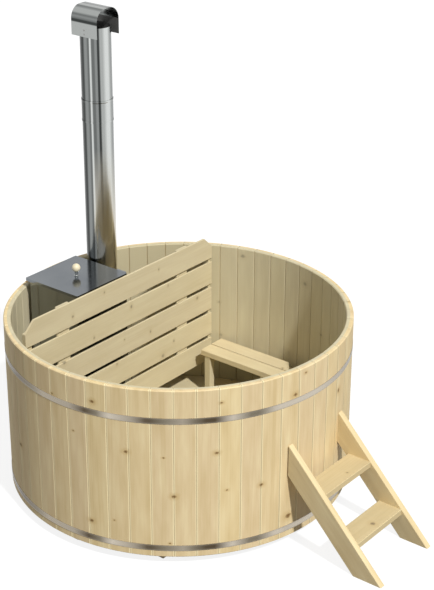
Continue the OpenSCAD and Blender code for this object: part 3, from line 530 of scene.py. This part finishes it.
def streaked_steel(name, stops, share_of, soot, dull=None):
    """Polished stainless sheet: light and dark streaks in its colour, which are painted reflections.

    share_of adds the nodes that place a point among the stops, and soot and dull those that say how sooty
    it is and how far it turns to the pale grey."""
    look = bpy.context.scene.hot_tub_steel
    material, tree, shader = new_material(name, {"Metallic": 1.0})
    colour = add(tree, "ShaderNodeValToRGB", {"Fac": share_of(tree)}, out="Color")
    set_stops(colour.node, [(place, getattr(look, "streak_" + tone)) for place, tone in stops])
    if dull:
        colour = add(tree, "ShaderNodeMixRGB", {"Fac": dull(tree), "Color1": colour, "Color2": look.scale})
    # Soot hides half of the metal and leaves it matt
    smoked = soot(tree)
    colour = add(tree, "ShaderNodeMixRGB", {"Fac": smoked, "Color1": colour, "Color2": look.soot})
    tree.links.new(colour, shader["Base Color"])
    metal = add(tree, "ShaderNodeMapRange", {"Value": smoked, "To Min": 1.0, "To Max": 0.5})
    tree.links.new(metal, shader["Metallic"])
    wear(tree, shader, (1, 1, 0.05), (0.16, 0.26), matt=smoked)
    return material


class HOTTUB_OT_tub(bpy.types.Operator):
    """Spruce staves, floor and beams, with growth rings, knots and eased seams"""

    bl_idname = "hottub.tub"
    bl_label = "Tub"

    def execute(self, context):
        # Planed spruce: pale, satin, fine rings along each stave
        knots = [((math.radians(azimuth) * TUB_R, height, outside), radius)
                 for azimuth, height, radius, outside in WALL_KNOTS]
        degree = math.radians(1) * TUB_R
        quiet = [(middle * degree, half * degree) for middle, half in (QUIET_OUTSIDE, QUIET_INSIDE)]
        staves = spruce("Planed spruce staves", STAVE_STEP, -STAVE_STEP / 2, TUB_R, seed=3.0, knots=knots,
                        quiet=quiet, soaked=0.52)
        finish(staves, *(n for n in NODES if n.startswith("staves_")))
        # The same wood lies under water in the floor, and is left sawn in the beams; the floor's greyer,
        # darker tone is in part painted shade
        low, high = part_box("floor_boards")
        width = (high.y - low.y) / FLOOR_BOARDS
        floor = spruce("Planed spruce floor", width, low.y, high.z, "YZX", seed=41.0, soaked=0.4, ripe=0.5)
        finish(floor, "floor_boards")
        beams = spruce("Sawn spruce beams", BEAM_STEP, -BEAM_STEP / 2, high.z, "XZY", seed=87.0)
        finish(beams, "beam_stove_side", "beam_middle", "beam_steps_side")
        return {"FINISHED"}


class HOTTUB_OT_hoops(bpy.types.Operator):
    """Stainless hoops with their lugs, bolts and nuts"""

    bl_idname = "hottub.hoops"
    bl_label = "Hoops"

    def execute(self, context):
        look = context.scene.hot_tub_steel
        # Rolled stainless strap: painted reflections as soft dark and light bands along its length, azimuth
        # in degrees and tone
        hoop, tree, shader = new_material("Rolled stainless strap", {"Metallic": 1.0})
        bands = ((-180, "light"), (-152, "mid"), (-146, "dark"), (-132, "dark"), (-122, "dark"),
                 (-112, "dark"), (-103, "mid"), (-97, "light"), (-86, "light"), (-80, "dark"), (-76, "mid"),
                 (-72, "bright"), (-65, "light"), (-60, "dark"), (-55, "mid"), (-49, "light"), (-46, "mid"),
                 (-42, "dark"), (-39, "dark"), (-34, "bright"), (-28, "mid"), (-25, "mid"), (-19, "bright"),
                 (-2, "bright"), (14, "light"), (28, "mid"), (52, "bright"), (85, "mid"), (104, "dark"),
                 (122, "bright"), (150, "mid"), (180, "light"))
        tones = add(tree, "ShaderNodeValToRGB", {"Fac": angle_about(tree, 0, 0)}, out="Color")
        stops = [((angle + 180) / 360, getattr(look, "hoop_" + tone)) for angle, tone in bands]
        set_stops(tones.node, stops)
        # Painted highlight: the strap's rolled edges are drawn brighter than its middle
        place = add(tree, "ShaderNodeTexCoord", out="Object")
        height = add(tree, "ShaderNodeSeparateXYZ", {0: place}, out="Z")
        offs = []
        for name in ("upper_hoop", "lower_hoop"):
            low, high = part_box(name)
            off = add(tree, "ShaderNodeMath", {0: height, 1: (low.z + high.z) / 2}, operation="SUBTRACT")
            offs.append(add(tree, "ShaderNodeMath", {0: off}, operation="ABSOLUTE"))
        aside = add(tree, "ShaderNodeMath", {0: offs[0], 1: offs[1]}, operation="MINIMUM")
        rubbed = add(tree, "ShaderNodeMapRange",
                     {"Value": aside, "From Min": STRAP_MIDDLE, "From Max": STRAP_EDGE, "To Max": 0.4})
        tones = add(tree, "ShaderNodeMixRGB", {"Fac": rubbed, "Color1": tones, "Color2": look.hoop_light})
        tree.links.new(tones, shader["Base Color"])
        wear(tree, shader, (1, 1, 14), (0.22, 0.34), 125 * MM)
        finish(hoop, "upper_hoop", "lower_hoop")
        # Zinc-plated steel: dull silver, slightly mottled
        zinc = mottled("Zinc-plated steel", (look.zinc, look.hoop_mid), 100 * MM / 9,
                       marks=((1, 1, 1), (0.32, 0.45)))
        finish(zinc, "hoop_lugs", "hoop_bolts", "hoop_nuts", "stove_bolts", "cowl_rivets",
               "drain_locknut")
        # Yellow-passivated zinc on the wood screws: dull brass tone
        mottled("Yellow-passivated zinc", (look.yellow_zinc, look.hoop_mid), 2.5 * MM,
                marks=((1, 1, 1), (0.35, 0.5), 10 * MM / 3))
        return {"FINISHED"}


class HOTTUB_OT_stove(bpy.types.Operator):
    """Stainless stove with its lid, grate, runners and collar"""

    bl_idname = "hottub.stove"
    bl_label = "Stove"

    def execute(self, context):
        look = context.scene.hot_tub_steel
        # Cold-rolled stainless sheet: a soft mirror with faint rolling streaks, brighter where it is pickled
        for name, tone, nodes in (
                ("Cold-rolled stainless sheet", look.sheet, ("stove_lid",)),
                ("Pickled stainless sheet", look.streak_mid,
                 ("stove_body", "stove_flue_box", "stove_runners", "flue_collar"))):
            sheet = mottled(name, (tone, look.streak_fair), 200 * MM,
                            spread={"From Min": 0.3, "From Max": 0.7, "To Max": 0.15},
                            marks=((1, 0.05, 1), (0.11, 0.19), 25 * MM / 3))
            finish(sheet, *nodes)
        # Cast iron: nearly black, grainy
        iron = mottled("Cast iron", (look.iron, look.streak_black), 2 * MM,
                       marks=((1, 1, 1), (0.55, 0.75), 2.5 * MM))
        finish(iron, "fire_grate")
        # Turned beech, oiled: pale, even and smooth, with faint fibres along its upright middle
        wood = context.scene.hot_tub_wood
        knob = mottled("Turned beech", (wood.beech, wood.sapwood), 20 * MM / 7, {"Roughness": 0.42},
                       stretch=(1, 1, 0.12), spread={"From Min": 0.4, "From Max": 0.7, "To Max": 0.35})
        finish(knob, "lid_knob")
        return {"FINISHED"}


class HOTTUB_OT_chimney(bpy.types.Operator):
    """Stainless chimney with its sleeve and rain cowl"""

    bl_idname = "hottub.chimney"
    bl_label = "Chimney"

    def execute(self, context):
        # Polished stainless tube, with painted reflections as light and dark streaks round it: azimuth in
        # degrees and tone
        streaks = ((-180, "mid"), (-165, "fair"), (-150, "mid"), (-132, "dark"), (-120, "black"),
                   (-100, "black"), (-92, "mid"), (-83, "mid"), (-78, "dark"), (-73, "dark"), (-71, "light"),
                   (-67, "light"), (-63, "dark"), (-54, "dark"), (-51, "mid"), (-44, "mid"), (-42, "black"),
                   (-36, "black"), (-32, "fair"), (-23, "fair"), (-12, "light"), (1, "light"), (10, "fair"),
                   (18, "mid"), (46, "dark"), (70, "light"), (92, "mid"), (104, "dark"), (128, "light"),
                   (150, "mid"), (180, "mid"))
        stops = [((angle + 180) / 360, tone) for angle, tone in streaks]

        def sooty_inside(tree):
            """1 on the inside of the tube."""
            place = add(tree, "ShaderNodeTexCoord", out="Object")
            place = add(tree, "ShaderNodeMapping", {"Vector": place, "Location": (-PIPE_X, -PIPE_Y, 0)})
            flat = add(tree, "ShaderNodeVectorMath", {0: place, 1: (1, 1, 0)}, operation="MULTIPLY")
            radius = add(tree, "ShaderNodeVectorMath", {0: flat}, out="Value", operation="LENGTH")
            return add(tree, "ShaderNodeMath", {0: radius, 1: PIPE_R - PIPE_SKIN}, operation="LESS_THAN")

        def dull_foot(tree):
            """How far the tube turns to the pale grey, low down and on the side that faces the tub."""
            place = add(tree, "ShaderNodeTexCoord", out="Object")
            height = add(tree, "ShaderNodeSeparateXYZ", {0: place}, out="Z")
            low = add(tree, "ShaderNodeMapRange",
                      {"Value": height, "From Min": DULL_TOP, "From Max": DULL_FULL, "To Max": 0.85})
            tub_side = add(tree, "ShaderNodeMapRange", {"Value": angle_about(tree, PIPE_X, PIPE_Y),
                                                        "From Min": 0.29, "From Max": 0.33})
            return add(tree, "ShaderNodeMath", {0: low, 1: tub_side}, operation="MULTIPLY")

        pipe = streaked_steel("Polished stainless tube", stops,
                              lambda tree: angle_about(tree, PIPE_X, PIPE_Y), sooty_inside, dull_foot)
        finish(pipe, "pipe_lower", "pipe_sleeve", "pipe_upper")

        def arch_parts(tree):
            """Place across the cowl and height over the line where its arch springs, never under it."""
            place = add(tree, "ShaderNodeTexCoord", out="Object")
            place = add(tree, "ShaderNodeMapping", {"Vector": place, "Location": (0, -PIPE_Y, -COWL_SPRING)})
            _, y, z = add(tree, "ShaderNodeSeparateXYZ", {0: place}).node.outputs
            return y, add(tree, "ShaderNodeMath", {0: z, 1: 0.0}, operation="MAXIMUM")

        def arch_share(tree):
            """Place along the arch, from 0 at one leg to 1 at the other."""
            y, z = arch_parts(tree)
            angle = add(tree, "ShaderNodeMath", {0: z, 1: y}, operation="ARCTAN2")
            return add(tree, "ShaderNodeMapRange", {"Value": angle, "From Max": math.pi})

        def arch_soot(tree):
            """1 on the inside of the cowl."""
            y, z = arch_parts(tree)
            flat = add(tree, "ShaderNodeCombineXYZ", {0: y, 1: z})
            radius = add(tree, "ShaderNodeVectorMath", {0: flat}, out="Value", operation="LENGTH")
            return add(tree, "ShaderNodeMath", {0: radius, 1: COWL_HALF - COWL_SKIN}, operation="LESS_THAN")

        # Folded stainless sheet: painted reflections as streaks along the cowl's arch, whose legs keep the
        # tone of their ends
        arch = ((0.0, "mid"), (0.10, "dark"), (0.22, "light"), (0.34, "fair"), (0.44, "mid"),
                (0.51, "dark"), (0.55, "fair"), (0.61, "fair"), (0.64, "dark"), (0.68, "mid"),
                (0.71, "fair"), (0.79, "fair"), (0.83, "dark"), (0.87, "mid"), (0.91, "dark"),
                (0.93, "black"), (0.97, "black"), (0.99, "fair"), (1.0, "fair"))
        cowl = streaked_steel("Folded stainless sheet", arch, arch_share, arch_soot)
        finish(cowl, "rain_cowl")
        return {"FINISHED"}


def screw_head():
    """One countersunk screw head with a round recess, axis along Z, its middle at z = 0."""
    size = bpy.context.scene.hot_tub_fixings
    bpy.ops.object.select_all(action="DESELECT")
    bpy.ops.mesh.primitive_cylinder_add(vertices=HEAD_SIDES, radius=size.screw_d / 2,
                                        depth=2 * size.screw_proud, location=(0, 0, 0))
    head = bpy.context.object
    bpy.ops.object.mode_set(mode="EDIT")
    bpy.ops.mesh.select_all(action="DESELECT")
    bpy.ops.object.mode_set(mode="OBJECT")
    for face in head.data.polygons:
        face.select = face.normal.z > UPWARD
    bpy.ops.object.mode_set(mode="EDIT")
    bpy.ops.mesh.bevel(offset=BEVEL_SHARE * size.screw_proud, segments=2, affect="EDGES")
    bpy.ops.object.mode_set(mode="OBJECT")
    for face in head.data.polygons:
        face.select = face.normal.z > UPWARD and face.center.length < size.screw_d / 4 + face.center.z
    bpy.ops.object.mode_set(mode="EDIT")
    bpy.ops.mesh.inset(thickness=(size.screw_d - size.recess_d) / 2)
    bpy.ops.mesh.extrude_region_move(TRANSFORM_OT_translate={"value": (0, 0, -size.screw_proud)})
    bpy.ops.mesh.select_all(action="SELECT")
    bpy.ops.mesh.normals_make_consistent(inside=False)
    bpy.ops.object.mode_set(mode="OBJECT")
    return head


def add_screws(name, places, body):
    """Copies a screw head to each place and joins the copies in one piece that rides on a body."""
    head = screw_head()
    bpy.ops.object.select_all(action="DESELECT")
    for matrix in places:
        copy = head.copy()
        copy.data = head.data.copy()
        copy.matrix_world = matrix
        bpy.context.scene.collection.objects.link(copy)
        copy.select_set(True)
        bpy.context.view_layer.objects.active = copy
    bpy.ops.object.join()
    piece = bpy.context.object
    piece.name = piece.data.name = name
    bpy.ops.object.transform_apply(location=True, rotation=True, scale=True)
    bpy.ops.object.shade_smooth_by_angle(angle=SMOOTH_ANGLE)
    piece.data.materials.clear()
    piece.data.materials.append(bpy.data.materials["Yellow-passivated zinc"])
    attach(piece, body)
    bpy.data.objects.remove(head)


def facing(point, direction):
    """A place at a point whose Z axis looks in a direction."""
    turn = Vector(direction).to_track_quat("Z", "Y").to_matrix().to_4x4()
    return Matrix.Translation(Vector(point)) @ turn


def between(low, high, shares):
    """The places at these shares of the way from low to high."""
    return [low + share * (high - low) for share in shares]


class HOTTUB_OT_fence(bpy.types.Operator):
    """Slatted fence in front of the stove, with its screws"""

    bl_idname = "hottub.fence"
    bl_label = "Fence"

    def execute(self, context):
        # Planed spruce, a little greyed by the water, and drawn darker as painted shade, for the fence
        # stands less lit inside the tub
        low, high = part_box("fence_slat_1")
        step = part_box("fence_slat_2")[0].z - low.z
        knots = [((height, along, 0), radius) for along, height, radius in FENCE_KNOTS]
        slats = spruce("Planed spruce slats", step, low.z - SLAT_LEAD, high.x, "ZXY", seed=23.0, knots=knots,
                       soaked=0.4, ripe=0.22)
        finish(slats, *(n for n in NODES if n.startswith("fence_slat")))
        posts = spruce("Planed spruce battens", *BATTEN_BAND, high.x, "YXZ", seed=67.0, soaked=0.45,
                       ripe=0.25)
        finish(posts, "fence_batten_near", "fence_batten_far", "fence_wall_blocks")
        # The screws go through the battens into the slats, from behind
        places = []
        for i in range(1, 6):
            low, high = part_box("fence_slat_%d" % i)
            for batten in ("fence_batten_near", "fence_batten_far"):
                back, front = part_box(batten)
                places += [facing((back.x, (back.y + front.y) / 2, z), (-1, 0, 0))
                           for z in between(low.z, high.z, SLAT_SCREW_SHARES)]
        add_screws("fence_screws", places, "tub")
        return {"FINISHED"}


class HOTTUB_OT_bench(bpy.types.Operator):
    """Bench boards, bearers and legs, with their screws"""

    bl_idname = "hottub.bench"
    bl_label = "Bench"

    def execute(self, context):
        # Planed spruce, paler than the floor because it stays dry for longer, and because the floor is drawn
        # darker as painted shade
        low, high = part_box("bench_board_front")
        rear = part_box("bench_board_rear")[0]
        gap = rear.y - high.y
        boards = spruce("Planed spruce bench", rear.y - low.y, low.y - gap / 2, high.z, "YZX",
                        seed=55.0, soaked=0.3, ripe=0.15)
        finish(boards, "bench_board_front", "bench_board_rear", "bench_bearers", "bench_wall_ledger")
        legs = spruce("Planed spruce legs", *LEG_BAND, high.y, "XYZ", seed=71.0, soaked=0.45, ripe=0.3)
        finish(legs, "bench_legs")
        # The screws go up through the bearers into the boards, wherever a bearer lies under them
        start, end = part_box("bench_bearers")
        bearer_w = end.z - start.z
        places = []
        for name in ("bench_board_front", "bench_board_rear"):
            low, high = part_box(name)
            for x in (start.x + bearer_w / 2, end.x - bearer_w / 2):
                places += [facing((x, y, start.z), (0, 0, -1))
                           for y in between(low.y, high.y, BENCH_SCREW_SHARES)
                           if start.y + bearer_w / 4 < y < end.y - bearer_w / 4]
        add_screws("bench_screws", places, "tub")
        return {"FINISHED"}


class HOTTUB_OT_steps(bpy.types.Operator):
    """Steps: two stringers, two treads and their cleats, with their screws"""

    bl_idname = "hottub.steps"
    bl_label = "Steps"

    def execute(self, context):
        # Planed spruce that has stayed dry; the stringers' grain runs along their slope
        slope = (0, math.radians(90 - STEP_ANGLE), 0)
        strings = spruce("Planed spruce stringers", *STRINGER_BAND, 0.0, "YXZ", seed=31.0, turn=slope,
                         soaked=0.12)
        finish(strings, "stringer_near", "stringer_far")
        treads = spruce("Planed spruce treads", *TREAD_BAND, TREAD_TOP, "XZY", seed=93.0, soaked=0.22,
                        ripe=0.5)
        finish(treads, "tread_lower", "tread_upper", "tread_cleats")
        # The screws go through the cleats into the stringers
        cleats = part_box("tread_cleats")
        places = []
        for name in ("tread_lower", "tread_upper"):
            low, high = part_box(name)
            for x in between(low.x, high.x, TREAD_SCREW_SHARES):
                z = low.z - CLEAT / 2
                places += [facing((x, cleats[0].y + CLEAT, z), (0, 1, 0)),
                           facing((x, cleats[1].y - CLEAT, z), (0, -1, 0))]
        add_screws("step_screws", places, "steps")
        return {"FINISHED"}


class HOTTUB_OT_drain(bpy.types.Operator):
    """Drain fitting and plug"""

    bl_idname = "hottub.drain"
    bl_label = "Drain"

    def execute(self, context):
        look = context.scene.hot_tub_steel
        # Turned stainless: even, satin
        turned = mottled("Turned stainless", (look.streak_mid, look.streak_light), 5 * MM, detail=1.0,
                         marks=((1, 1, 20), (0.22, 0.32)))
        finish(turned, "drain_fitting", "lid_stem", "lid_nut")
        # Moulded rubber: dark, matt, a little dusty
        rubber = mottled("Moulded rubber", (look.rubber, look.streak_dark), 10 * MM / 3,
                         {"Specular IOR Level": 0.4}, detail=3.0,
                         spread={"From Min": 0.5, "From Max": 0.8, "To Max": 0.3},
                         marks=((1, 1, 1), (0.6, 0.8), 5 * MM))
        finish(rubber, "drain_plug")
        return {"FINISHED"}


# The camera, set at the photograph's viewing angle
CAMERA_PLACE = (5.0385, -6.0046, 4.7645)
CAMERA_AZIMUTH, CAMERA_DOWN, CAMERA_ROLL = 128.41, 24.68, 0.26
CAMERA_LENS, SENSOR = 92.15, 36.0
FLOOR_SIZE = 80.0
SUN_DISTANCE = 10.0
WHITE = (1, 1, 1, 1)


def seen_share(tree):
    """1 where a surface is looked at, straight or in a mirror, and 0 where it only gives light."""
    path = add(tree, "ShaderNodeLightPath").node.outputs
    seen = path["Is Camera Ray"]
    for ray in ("Is Glossy Ray", "Is Transmission Ray"):
        seen = add(tree, "ShaderNodeMath", {0: seen, 1: path[ray]}, operation="MAXIMUM")
    return seen


def studio_floor(look):
    """Matt pale floor; what the camera and the metal see of it glows towards white and keeps the shadow."""
    material = bpy.data.materials.new("Matt studio floor")
    tree = empty_tree(material)
    strength = add(tree, "ShaderNodeMath", {0: seen_share(tree), 1: look.floor_glow}, operation="MULTIPLY")
    matt = add(tree, "ShaderNodeBsdfDiffuse", {"Color": look.floor})
    glow = add(tree, "ShaderNodeEmission", {"Color": WHITE, "Strength": strength})
    both = add(tree, "ShaderNodeAddShader", {0: matt, 1: glow})
    add(tree, "ShaderNodeOutputMaterial", {"Surface": both})
    return material


def studio_world(look):
    """White where it is seen, weaker as a light."""
    world = bpy.data.worlds.new("Studio")
    tree = empty_tree(world)
    strength = add(tree, "ShaderNodeMapRange",
                   {"Value": seen_share(tree), "To Min": look.sky, "To Max": 1.0})
    background = add(tree, "ShaderNodeBackground", {"Color": WHITE, "Strength": strength})
    add(tree, "ShaderNodeOutputWorld", {"Surface": background})
    return world


class HOTTUB_OT_stage(bpy.types.Operator):
    """Floor, light, background and camera"""

    bl_idname = "hottub.stage"
    bl_label = "Stage"

    def execute(self, context):
        scene = context.scene
        look = scene.hot_tub_stage
        bpy.ops.object.select_all(action="DESELECT")
        bpy.ops.mesh.primitive_plane_add(size=FLOOR_SIZE, location=(0, 0, 0))
        floor = bpy.context.object
        floor.name = floor.data.name = "stage_floor"
        floor.data.materials.append(studio_floor(look))
        scene.world = studio_world(look)
        # Sun from the steps' side
        azimuth, height = look.sun_azimuth, look.sun_height
        away = Vector((math.cos(azimuth) * math.cos(height), math.sin(azimuth) * math.cos(height),
                       math.sin(height)))
        bpy.ops.object.light_add(type="SUN", location=SUN_DISTANCE * away)
        sun = bpy.context.object
        sun.name = sun.data.name = "sun"
        sun.rotation_euler = away.to_track_quat("Z", "Y").to_euler()
        sun.data.energy, sun.data.angle = look.sun, look.sun_width
        # Camera: its axes from its azimuth and tilt, then turned by its roll
        bpy.ops.object.camera_add(location=CAMERA_PLACE)
        camera = bpy.context.object
        turn, down, roll = (math.radians(x) for x in (CAMERA_AZIMUTH, CAMERA_DOWN, CAMERA_ROLL))
        forward = Vector((math.cos(turn) * math.cos(down), math.sin(turn) * math.cos(down), -math.sin(down)))
        right = forward.cross(Vector((0, 0, 1))).normalized()
        up = right.cross(forward)
        turned_right = math.cos(roll) * right + math.sin(roll) * up
        turned_up = math.cos(roll) * up - math.sin(roll) * right
        camera.rotation_euler = Matrix((turned_right, turned_up, -forward)).transposed().to_euler()
        camera.data.sensor_fit = "VERTICAL"
        camera.data.sensor_height = SENSOR
        camera.data.lens = CAMERA_LENS
        camera.data.clip_end = 2 * FLOOR_SIZE
        scene.camera = camera
        scene.view_settings.view_transform = "Standard"
        return {"FINISHED"}


OPERATORS = (HOTTUB_OT_tub, HOTTUB_OT_hoops, HOTTUB_OT_stove, HOTTUB_OT_chimney, HOTTUB_OT_fence,
             HOTTUB_OT_bench, HOTTUB_OT_steps, HOTTUB_OT_drain, HOTTUB_OT_stage)
GROUPS = {"hot_tub_wood": HotTubWood, "hot_tub_steel": HotTubSteel, "hot_tub_fixings": HotTubFixings,
          "hot_tub_stage": HotTubStage}


class HOTTUB_PT_panel(bpy.types.Panel):
    """The tub's pieces and its stage"""

    bl_label = "Hot tub"
    bl_idname = "HOTTUB_PT_panel"
    bl_space_type = "VIEW_3D"
    bl_region_type = "UI"
    bl_category = "Hot tub"

    def draw(self, context):
        for name, group in GROUPS.items():
            box = self.layout.box()
            for key in group.__annotations__:
                box.prop(getattr(context.scene, name), key)
        for operator in OPERATORS:
            self.layout.operator(operator.bl_idname)


def register():
    """Registers the settings, operators and panel."""
    for cls in (*GROUPS.values(), *OPERATORS, HOTTUB_PT_panel):
        bpy.utils.register_class(cls)
    for name, group in GROUPS.items():
        setattr(bpy.types.Scene, name, bpy.props.PointerProperty(type=group))


def unregister():
    """Takes the settings, operators and panel away again."""
    for name in GROUPS:
        delattr(bpy.types.Scene, name)
    for cls in (HOTTUB_PT_panel, *reversed(OPERATORS), *GROUPS.values()):
        bpy.utils.unregister_class(cls)


def main():
    """Builds the pieces and the stage in order."""
    register()
    for operator in OPERATORS:
        group, name = operator.bl_idname.split(".")
        getattr(getattr(bpy.ops, group), name)()


if __name__ == "__main__":
    main()
